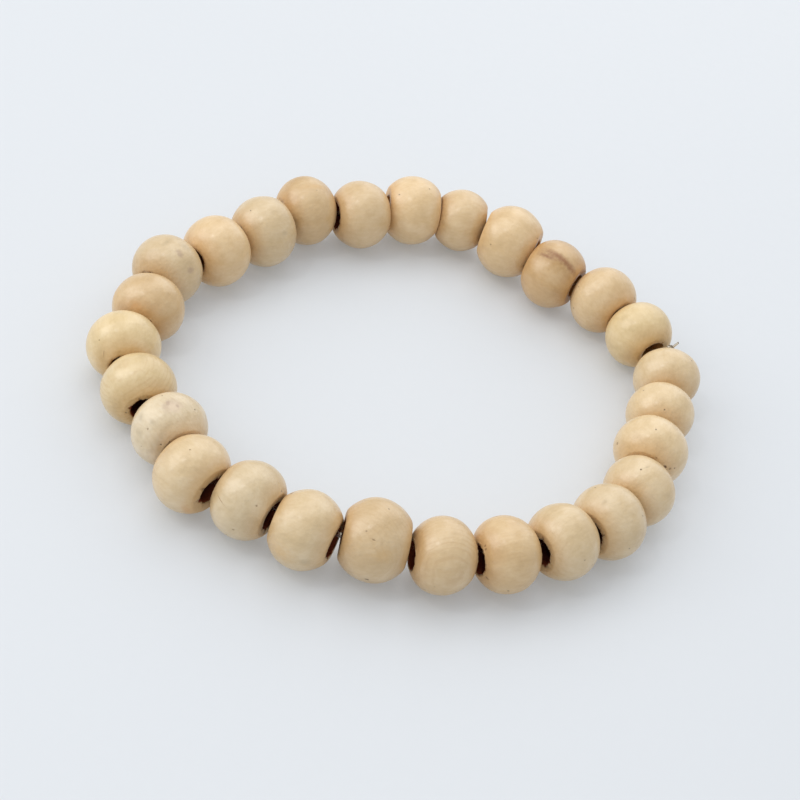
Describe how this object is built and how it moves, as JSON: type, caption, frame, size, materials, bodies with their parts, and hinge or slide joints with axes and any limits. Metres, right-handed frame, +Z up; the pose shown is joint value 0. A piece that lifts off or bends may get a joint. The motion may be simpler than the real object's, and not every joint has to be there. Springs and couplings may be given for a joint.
{
  "type": "wooden bead bracelet",
  "caption": "Stretch bracelet of rounded natural wood beads on a hidden elastic cord, a closed ring that lies flat and slips over the hand.",
  "frame": {"origin": "middle of the footprint, on the surface that the bracelet lies on", "axes": "+Z up out of the ring's plane; X and Y in the ring's plane, X along the longer side of its box"},
  "size_m": [0.0696, 0.0668, 0.0091],
  "materials": {
    "bead_wood": "pale turned wood under a thin satin varnish",
    "clear_elastic": "smooth translucent elastic cord"
  },
  "bodies": {
    "root": {"bead_01": "bead_wood", "bead_02": "bead_wood", "bead_03": "bead_wood", "bead_04": "bead_wood", "bead_05": "bead_wood", "bead_06": "bead_wood", "bead_07": "bead_wood", "bead_08": "bead_wood", "bead_09": "bead_wood", "bead_10": "bead_wood", "bead_11": "bead_wood", "bead_12": "bead_wood", "bead_13": "bead_wood", "bead_14": "bead_wood", "bead_15": "bead_wood", "bead_16": "bead_wood", "bead_17": "bead_wood", "bead_18": "bead_wood", "bead_19": "bead_wood", "bead_20": "bead_wood", "bead_21": "bead_wood", "bead_22": "bead_wood", "bead_23": "bead_wood", "bead_24": "bead_wood", "bead_25": "bead_wood", "bead_26": "bead_wood", "bead_27": "bead_wood", "elastic_cord": "clear_elastic", "knot": "clear_elastic"}
  },
  "joints": []
}
